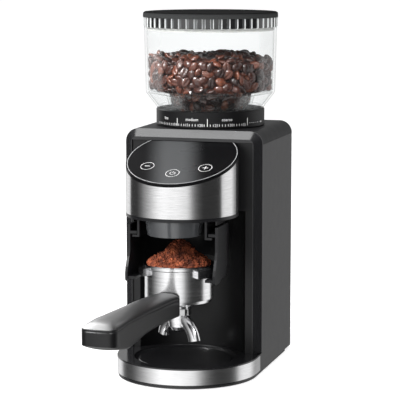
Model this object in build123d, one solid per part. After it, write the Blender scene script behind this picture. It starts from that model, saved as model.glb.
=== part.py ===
"""Burr coffee grinder with bean hopper, touch control head and portafilter cradle.

Millimetres, +Z up.  The origin is on the standing surface, at the centre of the round front of the base.
-Y is the user's side, +X the user's right.  The burr axis is vertical, at (0, BURR_Y).
"""
from build123d import *
import math
import os

os.makedirs("parts", exist_ok=True)

# ---------------------------------------------------------------- driving dimensions
HALF_W = 68.0          # half width of tower and base
Y_SEAM = 20.5          # front edge of the shell, where the bezel starts
Y_REAR = 140.5         # rear wall
Z_SEAM = 221.0         # joint between shell and top cover
Z_TOP = 233.5          # flat top of the tower
WALL = 2.5             # plastic wall
R_TOP = 12.3           # rounded long edges of the top cover
Y_PANEL = 14.0         # front face of the bay liner
BEZEL_IN = 60.0        # inner half width of the bezel
Y_BEZEL = 12.0         # front of the bezel
Z_BAR = 223.3          # lower edge of the bezel's top bar

BASE_Z0 = 3.5          # underside of shell and deck skirt
BAND_Z0, BAND_Z1 = 4.5, 18.6
DECK_Z = 20.0          # deck surface
TRAY_R, TRAY_Y = 49.0, -9.7

BURR_Y = 76.8          # burr, collar, hopper and lid axis

HEAD_R, HEAD_Y = 52.8, -18.6
HEAD_Z0 = 157.0        # underside of the head
HEAD_BAND_Z0 = 160.1
PANEL_SLOPE = 20.0     # degrees
PANEL_Z_FRONT = 192.2  # panel height at the front of the head (y = HEAD_Y - HEAD_R)

BAY_HALF = 52.7        # bay half width at the liner face
BAY_R, BAY_Y = 61.3, -17.3
BAY_TOP = 158.0

COLLAR_R, COLLAR_Z0, COLLAR_Z1 = 53.1, 233.6, 250.0
HOP_R0, HOP_R1 = 63.5, 65.0      # hopper outer radius at the bottom and top of its cylinder
HOP_Z0, HOP_Z1, HOP_Z2 = 250.8, 265.5, 329.2
LID_R, LID_Z0, LID_Z1, LID_Z2 = 66.0, 329.4, 338.9, 344.0
LID_RIBS = 52

PF_Y, PF_R = -29.3, 32.3         # portafilter axis and cup radius
PF_Z0, PF_Z1 = 76.4, 112.4       # cup bottom and rim
NOZ_Y, NOZ_R0, NOZ_R1, NOZ_Z0 = -43.0, 25.2, 27.8, 142.2   # outlet nose: centre, lower and upper radius, lower edge
HANDLE_END = 199.0               # portafilter axis to the handle's end
HANDLE_TURN = -3.3               # degrees about Z

CRADLE_X = 43.5                  # outer half width of the cradle
CRADLE_Z0, CRADLE_Z1 = 98.5, 151.0

SHAFT_R = 4.0
MOTOR_Y = 95.0
MOTOR_R = 27.0
MODULE = 1.0
PRESSURE = 25.0
T_PINION, T_IDLER_BIG, T_IDLER_SMALL, T_OUTPUT = 12, 36, 14, 46


# ---------------------------------------------------------------- helpers
def cyl(r, z0, z1, x=0.0, y=0.0):
    return Pos(x, y, (z0 + z1) / 2) * Cylinder(r, z1 - z0)


def tube(ro, ri, z0, z1, x=0.0, y=0.0):
    return cyl(ro, z0, z1, x, y) - cyl(ri, z0 - 1, z1 + 1, x, y)


def box(x0, x1, y0, y1, z0, z1):
    return Pos((x0 + x1) / 2, (y0 + y1) / 2, (z0 + z1) / 2) * Box(x1 - x0, y1 - y0, z1 - z0)


def rev(pts, x=0.0, y=0.0):
    """Solid of revolution about a vertical axis, from (radius, z) points."""
    face = make_face(Polyline(*[(r, 0, z) for r, z in pts], close=True))
    return Pos(x, y, 0) * revolve(face, Axis.Z, 360)


def prism(pts, z0, z1):
    face = make_face(Polyline(*[(x, y, z0) for x, y in pts], close=True))
    return extrude(face, amount=z1 - z0, dir=(0, 0, 1))


def side_prism(pts, x0, x1):
    """Extrusion along X of (y, z) points."""
    face = make_face(Polyline(*[(x0, y, z) for y, z in pts], close=True))
    return extrude(face, amount=x1 - x0, dir=(1, 0, 0))


def d_shape(r, y_back, z0, z1):
    """Half disc of radius r at the origin for y < 0, run straight back to y_back."""
    return cyl(r, z0, z1) + box(-r, r, 0, y_back, z0, z1) - box(-r - 1, r + 1, y_back, y_back + 2 * r, z0 - 1, z1 + 1)


def one(s):
    """The single solid of a shape."""
    ss = s.solids()
    return ss[0] if len(ss) == 1 else max(ss, key=lambda q: q.volume)


def save(shape, name):
    solids = shape.solids() if not isinstance(shape, list) else [q for s in shape for q in s.solids()]
    out = solids[0] if len(solids) == 1 else Compound(children=[Solid(s.wrapped) for s in solids])
    export_step(out, f"parts/{name}.step")


def screw(x, y, z_head, length, r=1.4, rh=2.8, hh=1.8, up=True):
    """Pan-head screw with a cross recess; the shank runs away from the head."""
    s = -1 if up else 1
    head = cyl(rh, min(z_head, z_head + s * hh), max(z_head, z_head + s * hh), x, y)
    za, zb = z_head + s * hh, z_head + s * (hh + length)
    shank = cyl(r, min(za, zb) - 0.0, max(za, zb), x, y)
    z_out = z_head
    zr0, zr1 = (z_out - 1.0, z_out + 1) if up else (z_out - 1, z_out + 1.0)
    slot = box(x - 1.7, x + 1.7, y - 0.35, y + 0.35, zr0, zr1) + box(x - 0.35, x + 0.35, y - 1.7, y + 1.7, zr0, zr1)
    return head + shank - slot


def gear_points(n, phase, m=MODULE, add=0.85, ded=1.15, backlash=0.16, steps=5):
    """Outline of an involute gear, with one tooth centred at the angle phase (degrees)."""
    a = math.radians(PRESSURE)
    rp = n * m / 2
    rb, ra, rf = rp * math.cos(a), rp + add * m, rp - ded * m
    inv = lambda t: math.tan(t) - t
    half = math.pi / (2 * n) - backlash / (4 * rp) + inv(a)
    pts = []
    for k in range(n):
        c = math.radians(phase) + 2 * math.pi * k / n
        flank = []
        r0 = max(rb, rf)
        for i in range(steps + 1):
            r = r0 + (ra - r0) * i / steps
            t = math.acos(min(1.0, rb / r))
            flank.append((r, half - inv(t)))
        tooth = [(rf, -(flank[0][1] + 0.012))] if rf < rb else []
        tooth += [(r, -h) for r, h in flank]
        tooth += [(r, h) for r, h in reversed(flank)]
        if rf < rb:
            tooth.append((rf, flank[0][1] + 0.012))
        pts += [(r * math.cos(c + h), r * math.sin(c + h)) for r, h in tooth]
    return pts


def gear(n, x, y, z0, z1, phase, bore):
    """Spur gear with a square bore."""
    body = prism([(px + x, py + y) for px, py in gear_points(n, phase)], z0, z1)
    return body - box(x - bore, x + bore, y - bore, y + bore, z0 - 1, z1 + 1)


slope = math.tan(math.radians(PANEL_SLOPE))
HEAD_FRONT = HEAD_Y - HEAD_R


def panel_z(y, drop=0.0):
    return PANEL_Z_FRONT + slope * (y - HEAD_FRONT) - drop


def below_panel(drop):
    """Everything under the panel plane, lowered by drop measured vertically."""
    return side_prism([(-90, 100), (Y_PANEL, 100), (Y_PANEL, panel_z(Y_PANEL, drop)), (-90, panel_z(-90, drop))], -80, 80)


def panel_slab(drop0, drop1):
    """Between two planes parallel to the panel, drop0 above drop1."""
    return side_prism([(-90, panel_z(-90, drop1)), (Y_PANEL, panel_z(Y_PANEL, drop1)),
                       (Y_PANEL, panel_z(Y_PANEL, drop0)), (-90, panel_z(-90, drop0))], -80, 80)


# ---------------------------------------------------------------- tower shell
def arch(half, z0, z1, r, y0, y1):
    """Extrusion along Y of a rectangle with two rounded top corners."""
    pts = Polyline((-half, y0, z1 - r), (-half, y0, z0), (half, y0, z0), (half, y0, z1 - r))
    s = math.sqrt(0.5)
    right = ThreePointArc((half, y0, z1 - r), (half - r + r * s, y0, z1 - r + r * s), (half - r, y0, z1))
    top = Line((half - r, y0, z1), (-half + r, y0, z1))
    left = ThreePointArc((-half + r, y0, z1), (-half + r - r * s, y0, z1 - r + r * s), (-half, y0, z1 - r))
    face = make_face([*pts.edges(), right.edge(), top.edge(), left.edge()])
    return extrude(face, amount=y1 - y0, dir=(0, 1, 0))


def tower_block(inset, z0, z1):
    """Tower plan, rear corners rounded."""
    r = max(1.2, 4.5 - inset)
    b = box(-HALF_W + inset, HALF_W - inset, Y_SEAM - (0 if inset == 0 else 20), Y_REAR - inset, z0, z1)
    edges = b.edges().filter_by(Axis.Z).sort_by(Axis.Y)[-2:]
    return fillet(edges, r)


shell = tower_block(0, BASE_Z0, Z_SEAM)
shell = shell - tower_block(WALL, BASE_Z0 - 1, Z_SEAM + 1)
# low front cheeks beside the base band
for s in (-1, 1):
    xa, xb = sorted((s * (HALF_W - WALL), s * HALF_W))
    shell = shell + box(xa, xb, 14.0, Y_SEAM, BASE_Z0, DECK_Z - 0.1)
# rear floor behind the pan
shell = shell + (tower_block(0.5, BASE_Z0, BASE_Z0 + 2.5) & box(-80, 80, 118.2, 160, 0, 50))
# rear vents
for i in range(7):
    shell = shell - box(-26, 26, Y_REAR - 6, Y_REAR + 5, 66 + 7.5 * i, 69.2 + 7.5 * i)
# cord hole
shell = shell - cyl(6.1, 0, 12).rotate(Axis.X, 90).moved(Location((44, Y_REAR + 6, 22)))
save(one(shell), "main_shell")

cover = arch(HALF_W, Z_SEAM + 0.15, Z_TOP, R_TOP, Y_SEAM, Y_REAR)
rear_edges = cover.edges().filter_by(lambda e: abs(e.center().Y - Y_REAR) < 1e-3 and e.center().Z > Z_SEAM + 1)
cover = fillet(rear_edges, 4.0)
cover = cover - arch(HALF_W - WALL, Z_SEAM - 5, Z_TOP - WALL, R_TOP - WALL, Y_SEAM - 1, Y_REAR - 4.2)
cover = cover - cyl(44.5, Z_SEAM, Z_TOP + 5, 0, BURR_Y)
save(one(cover), "top_cover")

bez = arch(HALF_W, DECK_Z + 0.1, Z_TOP, R_TOP + 0.1, Y_BEZEL, Y_SEAM - 0.15)
bez = bez - box(-BEZEL_IN, BEZEL_IN, Y_BEZEL - 5, Y_SEAM + 5, 0, Z_BAR)
outer = bez.edges().filter_by(lambda e: abs(e.center().Y - Y_BEZEL) < 1e-3 and (abs(e.center().X) > HALF_W - 6 or e.center().Z > Z_TOP - 4) and e.center().Z > DECK_Z + 1)
bez = chamfer(outer, 6.6, 7.2)
save(one(bez), "front_bezel")

# bay liner: flat frame around the head plus the hollow bay wall
liner = box(-BEZEL_IN + 0.1, BEZEL_IN - 0.1, Y_PANEL, Y_PANEL + WALL, DECK_Z + 0.1, Z_BAR - 0.1)
bay_cut = cyl(BAY_R, 0, BAY_TOP, 0, BAY_Y)
liner = liner - (bay_cut & box(-BAY_HALF, BAY_HALF, -100, 100, 0, BAY_TOP))
wall = (cyl(BAY_R + WALL, DECK_Z + 0.1, BAY_TOP + WALL, 0, BAY_Y) & box(-BAY_HALF - WALL, BAY_HALF + WALL, Y_PANEL, 100, 0, 300))
wall = wall - (bay_cut & box(-BAY_HALF, BAY_HALF, -100, 100, 0, BAY_TOP))
liner = liner + wall
liner = liner - box(-19, 19, Y_PANEL - 1, Y_PANEL + WALL + 20, 168, 206)          # chute window
liner = liner - box(-34, -24, Y_PANEL - 1, Y_PANEL + 10, 196, 204)                # cable window
for sx in (-1, 1):
    for z in (170.0, 208.0):
        liner = liner - cyl(1.6, 0, 30).rotate(Axis.X, 90).moved(Location((sx * 33, Y_PANEL + 25, z)))
save(one(liner), "bay_liner")

# ---------------------------------------------------------------- control head
head_cyl = cyl(HEAD_R - 0.9, HEAD_Z0, 240, 0, HEAD_Y) & below_panel(2.6)
rim = cyl(HEAD_R + 0.1, HEAD_Z0, HEAD_BAND_Z0 - 0.1, 0, HEAD_Y) & below_panel(2.6)
head = head_cyl + rim
inner = cyl(HEAD_R - 3.3, HEAD_Z0 + 2.6, 240, 0, HEAD_Y) & side_prism(
    [(-90, 100), (Y_PANEL - 2.2, 100), (Y_PANEL - 2.2, 300), (-90, 300)], -80, 80)
head = head - inner
head = head - (box(-19, 19, 5, 20, 168, 206)) - box(-34, -24, 5, 20, 196, 204)
# outlet opening in the underside
head = head - cyl(17.0, HEAD_Z0 - 1, HEAD_Z0 + 4, 0, -34)
# cradle rails under the head: web with an outward foot, one each side
for s in (-1, 1):
    xa, xb = sorted((s * 31.6, s * 33.6))
    head = head + box(xa, xb, -52, -6, 139.6, HEAD_Z0 + 0.5)
    xa, xb = sorted((s * 31.6, s * 38.4))
    head = head + box(xa, xb, -52, -6, 139.6, 141.6)
    # outer guide lip
    xa, xb = sorted((s * 39.6, s * 41.0))
    head = head + box(xa, xb, -44, 4, 152.2, HEAD_Z0 + 0.5)
for sx in (-1, 1):
    for z in (170.0, 208.0):
        head = head + box(sx * 33 - 4, sx * 33 + 4, Y_PANEL - 9, Y_PANEL - 1, z - 4, z + 4)
        head = head - cyl(1.2, 0, 12).rotate(Axis.X, 90).moved(Location((sx * 33, Y_PANEL + 6, z)))
head = head & below_panel(2.6)
save(one(head), "head_shell")

band = tube(HEAD_R, HEAD_R - 0.8, HEAD_BAND_Z0, 240, 0, HEAD_Y) & below_panel(2.7)
save(one(band), "head_band")

plate = cyl(HEAD_R + 0.1, 150, 260, 0, HEAD_Y) & panel_slab(0.0, 2.5)
plate = plate & box(-80, 80, -90, Y_PANEL - 0.1, 0, 300)
groove = tube(HEAD_R - 1.0, HEAD_R - 1.7, 150, 260, 0, HEAD_Y) & panel_slab(-2, 0.6)
plate = plate - groove
save(one(plate), "touch_panel")
trim = tube(HEAD_R - 1.05, HEAD_R - 1.65, 150, 260, 0, HEAD_Y) & panel_slab(-0.12, 0.55) & box(-80, 80, -90, Y_PANEL - 0.3, 0, 300)
save(one(trim), "panel_trim")

board = box(-34, 34, -50, 2, 100, 260) & panel_slab(6.4, 8.1)
save(one(board), "touch_board")

# ---------------------------------------------------------------- grounds path
outer_duct = [(36.2, 187.4), (36.2, 205.5), (-14, 192.5), (-48, 180.0), (-48, 159.8), (-20, 159.8), (-12, 170.5)]
inner_duct = [(40.0, 189.4), (40.0, 204.2), (-13.6, 190.4), (-46, 178.4), (-46, 155.0), (-21.6, 155.0), (-21.6, 160.4), (-13.1, 172.2)]
duct = side_prism(outer_duct, -15, 15) - side_prism(inner_duct, -13, 13)
save(one(duct), "grounds_chute")

# a tapered round nose at the front, with the drop hole behind it
nose = rev([(0, NOZ_Z0), (NOZ_R0, NOZ_Z0), (NOZ_R1, HEAD_Z0 - 0.05), (0, HEAD_Z0 - 0.05)], 0, NOZ_Y)
back = rev([(0, NOZ_Z0), (NOZ_R0, NOZ_Z0), (NOZ_R1, HEAD_Z0 - 0.05), (0, HEAD_Z0 - 0.05)], 0, -37.0)
noz = nose + back + box(-NOZ_R0 + 0.4, NOZ_R0 - 0.4, NOZ_Y, -37.0, NOZ_Z0, HEAD_Z0 - 0.05)
noz = noz - cyl(15.0, NOZ_Z0 - 2, 160, 0, -34)
save(one(noz), "outlet_nozzle")

# ---------------------------------------------------------------- base
deck = d_shape(68.0, Y_PANEL + 1.0, 18.7, DECK_Z) + d_shape(67.1, Y_PANEL + 1.0, 16.4, 19.0)
deck = deck - box(HALF_W - 3, 90, 13.8, 30, 0, 40) - box(-90, -HALF_W + 3, 13.8, 30, 0, 40)
# floor of the bay, under the liner
deck = deck + (cyl(BAY_R + WALL + 0.6, 17.2, DECK_Z, 0, BAY_Y) & box(-56.5, 56.5, 10, 60, 0, 50))
skirt = d_shape(67.1, 13.8, BASE_Z0, 17.0) - d_shape(65.0, 14.8, BASE_Z0 - 1, 16.4)
lip = d_shape(67.7, 13.8, BASE_Z0, BAND_Z0 - 0.1) - d_shape(65.0, 14.8, 0, 10)
deck = deck + skirt + lip
bowl = rev([(0, 17.0), (TRAY_R - 4.0, 17.0), (TRAY_R - 3.2, 17.2), (TRAY_R - 0.6, 19.2), (TRAY_R, 21.0), (0, 21.0)], 0, TRAY_Y)
floor = cyl(TRAY_R + 2.0, 14.6, 18.8, 0, TRAY_Y)
deck = (deck + floor) - bowl
for sx in (-1, 1):
    for y in (-46.0, 6.0):
        deck = deck + (tube(3.4, 1.2, BASE_Z0, 17.0, sx * 38 if y < 0 else sx * 58, y))
save(one(deck), "base_deck")

bband = (d_shape(68.0, 13.7, BAND_Z0, BAND_Z1) - d_shape(67.2, 14.7, BAND_Z0 - 1, BAND_Z1 + 1))
save(one(bband), "base_band")

mat = cyl(TRAY_R - 4.4, 17.05, 18.3, 0, TRAY_Y)
mat = chamfer(mat.edges().filter_by(GeomType.CIRCLE).sort_by(Axis.Z)[-1:], 0.5)
save(one(mat), "tray_mat")

pan = d_shape(67.0, 118.0, 1.0, 3.4)
pan = pan - box(60, 90, 117, 119, 0, 5) - box(-90, -60, 117, 119, 0, 5)
FEET = [(-42, -34), (42, -34), (-52, 100), (52, 100), (0, 0)]
SCREWS = [(-38, -46), (38, -46), (-58, 6), (58, 6)]
for x, y in FEET:
    pan = pan - cyl(3.0, 0, 5, x, y)
for x, y in SCREWS:
    pan = pan - cyl(1.6, 0, 5, x, y) - cyl(3.2, 0, 2.4, x, y)
for i in range(6):
    pan = pan - box(-24, 24, 60 + 7 * i, 63 + 7 * i, 0, 5)
save(one(pan), "base_pan")

save([cyl(8.0, 0, 1.0, x, y) + cyl(2.9, 1.0, 3.3, x, y) for x, y in FEET], "rubber_feet")
save([screw(x, y, 1.2, 8.0, r=1.15, rh=2.9, hh=1.15, up=False) for x, y in SCREWS], "pan_screws")

# ---------------------------------------------------------------- collar and chamber
collar = rev([(50.5, COLLAR_Z1), (50.5, 236.2), (34.6, 236.2), (34.6, COLLAR_Z0), (52.4, COLLAR_Z0),
              (COLLAR_R, COLLAR_Z0 + 0.8), (COLLAR_R, COLLAR_Z1 - 0.6), (COLLAR_R - 0.6, COLLAR_Z1)], 0, BURR_Y)
COLLAR_SCREWS = [(41.6 * math.cos(math.radians(a)), BURR_Y + 41.6 * math.sin(math.radians(a))) for a in (30, 150, 270)]
for x, y in COLLAR_SCREWS:
    collar = collar - cyl(1.6, 230, 240, x, y)
save(one(collar), "scale_collar")
save([screw(x, y, 238.1, 9.0, r=1.15) for x, y in COLLAR_SCREWS], "collar_screws")

GB_Z0, GB_Z1, GB_Z2 = 136.0, 160.0, 163.0
chamber = rev([(15, GB_Z2), (15, 180), (40.4, 184), (40.4, 233.0), (43.6, 233.0), (43.6, 233.5), (38.9, 233.5), (38.9, 225.0),
               (36.2, 225.0), (36.2, 188), (5.2, 188), (5.2, 182.2), (11.0, 182.2), (11.0, GB_Z2)], 0, BURR_Y)
chamber = chamber - box(-12, 12, 30, 50, 189.0, 204.0)                       # exit port
for a in (90, 210, 330):                                                     # key grooves for the burr carrier
    g = box(34, 38.3, -3.2, 3.2, 200, 226)
    chamber = chamber - Pos(0, BURR_Y, 0) * Rot(0, 0, a) * g
for x, y in COLLAR_SCREWS:
    chamber = chamber + (cyl(2.6, 222, 233.5, x, y)) - cyl(1.15, 221, 236, x, y)
chamber = chamber - cyl(38.9, 225, 240, 0, BURR_Y)
save(one(chamber), "burr_chamber")

# adjusting ring: turned by two hopper lugs
adj = tube(38.5, 27.0, 225.2, 233.0, 0, BURR_Y)
for s in (-1, 1):
    xa, xb = sorted((s * 24, s * 31.8))
    adj = adj - box(xa, xb, BURR_Y - 4.4, BURR_Y + 4.4, 227.0, 240)
save(one(adj), "adjust_ring")

carrier = tube(35.9, 28.1, 203.0, 223.2, 0, BURR_Y) + tube(35.9, 24.9, 220.6, 223.2, 0, BURR_Y)
for a in (90, 210, 330):
    carrier = carrier + Pos(0, BURR_Y, 0) * Rot(0, 0, a) * box(35.5, 38.0, -3.0, 3.0, 206, 221)
CARRIER_SCREWS = [(26.3 * math.cos(math.radians(a)), BURR_Y + 26.3 * math.sin(math.radians(a))) for a in (30, 150, 270)]
for x, y in CARRIER_SCREWS:
    carrier = carrier - cyl(1.05, 218, 226, x, y)
save(one(carrier), "burr_carrier")

ring = rev([(27.9, 203.4), (27.9, 220.4), (24.6, 220.4), (21.6, 210.0), (20.4, 203.4)], 0, BURR_Y)
for k in range(18):
    ring = ring - Pos(0, BURR_Y, 0) * Rot(0, 0, k * 20) * side_prism([(-19, 202), (-21.4, 202), (-25.6, 221), (-19, 221)], -0.7, 0.7)
for x, y in CARRIER_SCREWS:
    ring = ring - cyl(0.95, 214, 222, x, y)
save(one(ring), "ring_burr")
save([screw(x, y, 224.1, 8.5, r=0.9, rh=1.25, hh=0.9) for x, y in CARRIER_SCREWS], "ring_burr_screws")

# ---------------------------------------------------------------- burr shaft group
shaft = cyl(SHAFT_R, 139.3, 226.5, 0, BURR_Y)
sq = cyl(SHAFT_R + 1, 149.0, 157.0, 0, BURR_Y) - box(-2.85, 2.85, BURR_Y - 2.85, BURR_Y + 2.85, 100, 200)
shaft = shaft - sq
save(one(shaft), "drive_shaft")

cone = rev([(4.05, 198.2), (19.6, 198.2), (19.6, 203.6), (16.5, 210.0), (10.0, 219.5), (7.6, 222.5), (4.05, 222.5)], 0, BURR_Y)
for k in range(8):
    cone = cone - Pos(0, BURR_Y, 0) * Rot(0, 0, k * 45) * side_prism([(-40, 207), (-15.9, 207), (-7.2, 221), (-7.2, 240), (-40, 240)], -1.1, 1.1)
for k in range(30):
    cone = cone - Pos(0, BURR_Y, 0) * Rot(0, 0, k * 12 + 5) * box(-0.45, 0.45, -21, -18.9, 197, 205.5)
save(one(cone), "cone_burr")

sweeper = tube(34.0, 4.05, 188.8, 191.0, 0, BURR_Y) + tube(9.0, 4.05, 190.5, 198.0, 0, BURR_Y)
for k in range(4):
    sweeper = sweeper + Pos(0, BURR_Y, 0) * Rot(0, 0, k * 90 + 20) * box(8.0, 33.6, -1.0, 1.0, 190.5, 197.0)
save(one(sweeper), "grounds_sweeper")

nut = rev([(0, 229.6), (3.0, 229.6), (6.2, 227.6), (6.2, 222.7), (4.05, 222.7), (4.05, 226.6), (0, 226.6)], 0, BURR_Y)
for k in range(6):
    nut = nut - Pos(0, BURR_Y, 0) * Rot(0, 0, k * 60) * box(-8, 8, -12, -5.5, 222, 230)
save(one(nut), "burr_nut")

O = (0.0, BURR_Y)
M = (0.0, MOTOR_Y)
c_om = MOTOR_Y - BURR_Y
c_oi = MODULE * (T_OUTPUT + T_IDLER_SMALL) / 2
c_im = MODULE * (T_IDLER_BIG + T_PINION) / 2
t = (c_oi ** 2 - c_im ** 2 + c_om ** 2) / (2 * c_om)
I = (math.sqrt(c_oi ** 2 - t ** 2), BURR_Y + t)
ang = lambda p, q: math.degrees(math.atan2(q[1] - p[1], q[0] - p[0]))
save(one(gear(T_OUTPUT, *O, 149.2, 156.8, ang(O, I), 2.9)), "output_gear")
small = gear(T_IDLER_SMALL, *I, 148.0, 157.0, ang(I, O) + 180.0 / T_IDLER_SMALL, 0.01)
big = gear(T_IDLER_BIG, *I, 141.0, 148.0, ang(I, M), 0.01)
idl = (small + big) - cyl(2.05, 130, 170, *I)
save(one(idl), "idler_gear")
save(one(cyl(2.0, 137.5, 161.5, *I)), "idler_pin")
save(one(gear(T_PINION, *M, 140.6, 147.6, ang(M, I) + 180.0 / T_PINION, 1.8)), "motor_pinion")

# ---------------------------------------------------------------- bearings, gearbox
def bearing(ri, ro, z0, z1, y):
    zc = (z0 + z1) / 2
    w = (z1 - z0) / 2
    rings = tube(ro, ro - 1.3, z0, z1, 0, y) + tube(ri + 1.3, ri, z0, z1, 0, y)
    shield = tube(ro - 1.2, ri + 1.2, zc - w + 0.6, zc + w - 0.6, 0, y)
    return rings + shield


save(one(bearing(SHAFT_R + 0.02, 10.98, 175.0, 182.0, BURR_Y)), "upper_bearing")
save(one(bearing(SHAFT_R + 0.02, 7.98, 139.2, 144.2, BURR_Y)), "lower_bearing")


def gb_plan(inset, z0, z1):
    b = box(-33 + inset, 47 - inset, 49 + inset, 118 - inset, z0, z1)
    return fillet(b.edges().filter_by(Axis.Z), 9.0 - inset)


gb = gb_plan(0, GB_Z0, GB_Z1) - gb_plan(2.2, GB_Z0 + 3, GB_Z1 + 1)
gb = gb + cyl(9.8, GB_Z0 + 2, 143.8, *O)
gb = gb - cyl(8.0, 139.2, 150, *O) - cyl(4.6, 130, 150, *O)
gb = gb - cyl(5.0, 130, 150, *M) - cyl(2.0, 137.5, 150, *I)
MOTOR_SCREWS = [(-16, MOTOR_Y), (16, MOTOR_Y)]
for x, y in MOTOR_SCREWS:
    gb = gb - cyl(1.6, 130, 150, x, y)
GBS = [(-27, 55), (41, 55), (-27, 112), (41, 112)]
for x, y in GBS:
    gb = gb + cyl(4.0, GB_Z0 + 2, GB_Z1, x, y) - cyl(1.15, 146, GB_Z1 + 1, x, y)
save(one(gb), "gearbox_base")
gc = gb_plan(0, GB_Z1 + 0.05, GB_Z2) - cyl(4.6, 150, 170, *O) - cyl(2.0, 150, 161.6, *I)
for x, y in GBS:
    gc = gc - cyl(1.6, 150, 170, x, y)
save(one(gc), "gearbox_cover")
save([screw(x, y, GB_Z2 + 1.85, 10.0, r=1.12) for x, y in GBS], "gearbox_screws")

# ---------------------------------------------------------------- motor
can = cyl(MOTOR_R, 68, GB_Z0 - 0.05, *M) - cyl(MOTOR_R - 1.6, 60, GB_Z0 - 1.8, *M)
can = can + cyl(5.0, 131.2, GB_Z0 - 1.0, *M) - cyl(2.55, 120, 150, *M)
for x, y in MOTOR_SCREWS:
    can = can - cyl(1.25, 120, 150, x, y)
for k in range(4):
    can = can - Pos(*M, 0) * Rot(0, 0, 45 + 90 * k) * box(MOTOR_R - 4, MOTOR_R + 2, -5, 5, 72, 84)
save(one(can), "motor_can")
mags = []
for s in (-1, 1):
    m = tube(MOTOR_R - 1.7, 21.2, 88, 128, *M) & box(-13, 13, MOTOR_Y + (0 if s > 0 else -30), MOTOR_Y + (30 if s > 0 else 0), 80, 130)
    m = tube(MOTOR_R - 1.7, 21.2, 88, 128, *M) & (Pos(*M, 0) * (box(4, 30, -22, 22, 80, 130) if s > 0 else box(-30, -4, -22, 22, 80, 130)))
    mags.append(m)
save(mags, "motor_magnets")
cap = cyl(MOTOR_R - 1.7, 68.2, 71.2, *M) + cyl(7.0, 64.0, 71.2, *M) - cyl(2.55, 60, 80, *M)
for s in (-1, 1):
    cap = cap + box(min(s * 10.5, s * 20), max(s * 10.5, s * 20), MOTOR_Y - 3, MOTOR_Y + 3, 71.0, 80.0)
save(one(cap), "brush_cap")
save([screw(x, y, 137.2 + 3.6, 5.0, r=1.15, hh=1.6) for x, y in MOTOR_SCREWS], "motor_screws")

ms = cyl(2.5, 64.5, 148.0, *M)
ms = ms - (cyl(3.5, 140.2, 149, *M) - box(-1.77, 1.77, MOTOR_Y - 1.77, MOTOR_Y + 1.77, 130, 160))
save(one(ms), "motor_shaft")
arm = tube(20.4, 2.5, 90, 126, *M)
for k in range(12):
    arm = arm - Pos(*M, 0) * Rot(0, 0, 30 * k) * box(15.5, 22, -0.9, 0.9, 80, 130)
arm = arm + tube(18.0, 2.5, 84, 90.2, *M) + tube(18.0, 2.5, 125.8, 130.5, *M) + tube(9.0, 2.5, 72.5, 84.2, *M)
save(one(arm), "armature")

# ---------------------------------------------------------------- electrics
pb = box(-44, 44, 128.0, 129.6, 30, 122)
save(one(pb), "power_board")
comps = [box(-40, -16, 124.0, 127.9, 36, 64),
         cyl(6.0, 0, 11).rotate(Axis.X, 90).moved(Location((34, 127.9, 48))),
         cyl(6.0, 0, 11).rotate(Axis.X, 90).moved(Location((34, 127.9, 66))),
         box(-6, 16, 123.4, 127.9, 34, 44),
         box(-40, -30, 122.5, 127.9, 100, 116), box(30, 40, 122.5, 127.9, 100, 116)]
save(comps, "board_components")
sw = box(-54, -47.6, 66, 86, 219.5, 229.0) - box(-52.8, -48.8, 69.9, 73.1, 224.4, 240)
sw = sw - cyl(1.2, -60, 0).rotate(Axis.Y, 90).moved(Location((0, 69.5, 222.5)))
save(one(sw), "interlock_switch")
save(one(box(-52.5, -49.1, 70.2, 72.8, 225.6, 230.4)), "switch_plunger")
gl = rev([(3.6, 0), (9.0, 0), (9.0, 2.4), (6.0, 2.4), (6.0, 6.0), (7.4, 6.0), (7.4, 8.0), (5.6, 12.0), (3.6, 12.0)])
gl = gl.rotate(Axis.X, 90).moved(Location((44, Y_REAR + 2.45, 22)))
save(one(gl), "cord_gland")

# ---------------------------------------------------------------- hopper
t_w = 2.4
wall_o = rev([(HOP_R0 - t_w, HOP_Z1), (HOP_R0, HOP_Z1), (HOP_R1, HOP_Z2), (HOP_R1 - t_w, HOP_Z2)], 0, BURR_Y)
skirt = rev([(HOP_R0, HOP_Z1), (52.3, HOP_Z0), (47.5, HOP_Z0), (47.5, HOP_Z0 + 2.0), (51.4, HOP_Z0 + 2.0), (HOP_R0 - t_w, HOP_Z1), (HOP_R0 - t_w, HOP_Z1 + 2.0), (HOP_R0, HOP_Z1 + 2)], 0, BURR_Y)
guide = tube(49.8, 47.5, 238.0, HOP_Z0 + 1.0, 0, BURR_Y)
funnel = rev([(HOP_R0 - t_w, HOP_Z1), (HOP_R0 - t_w, HOP_Z1 + 2.2), (41.4, 264.6), (38.4, 251.2), (23.5, 241.4), (23.5, 228.0), (25.5, 228.0), (25.5, 240.2), (40.4, 249.9), (43.3, 262.2)], 0, BURR_Y)
hop = wall_o + skirt + guide + funnel
for s in (-1, 1):
    xa, xb = sorted((s * 25.0, s * 31.4))
    hop = hop + box(xa, xb, BURR_Y - 4.0, BURR_Y + 4.0, 228.0, 234.2)
save(one(hop), "hopper")

beans = rev([(0, 231.4), (22.9, 231.4), (22.9, 241.9), (37.8, 251.8), (40.8, 265.2), (60.4, 268.6), (61.2, 294.5), (56.0, 299.5), (38.0, 303.0), (0, 305.0)], 0, BURR_Y)
save(one(beans), "coffee_beans")

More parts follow.
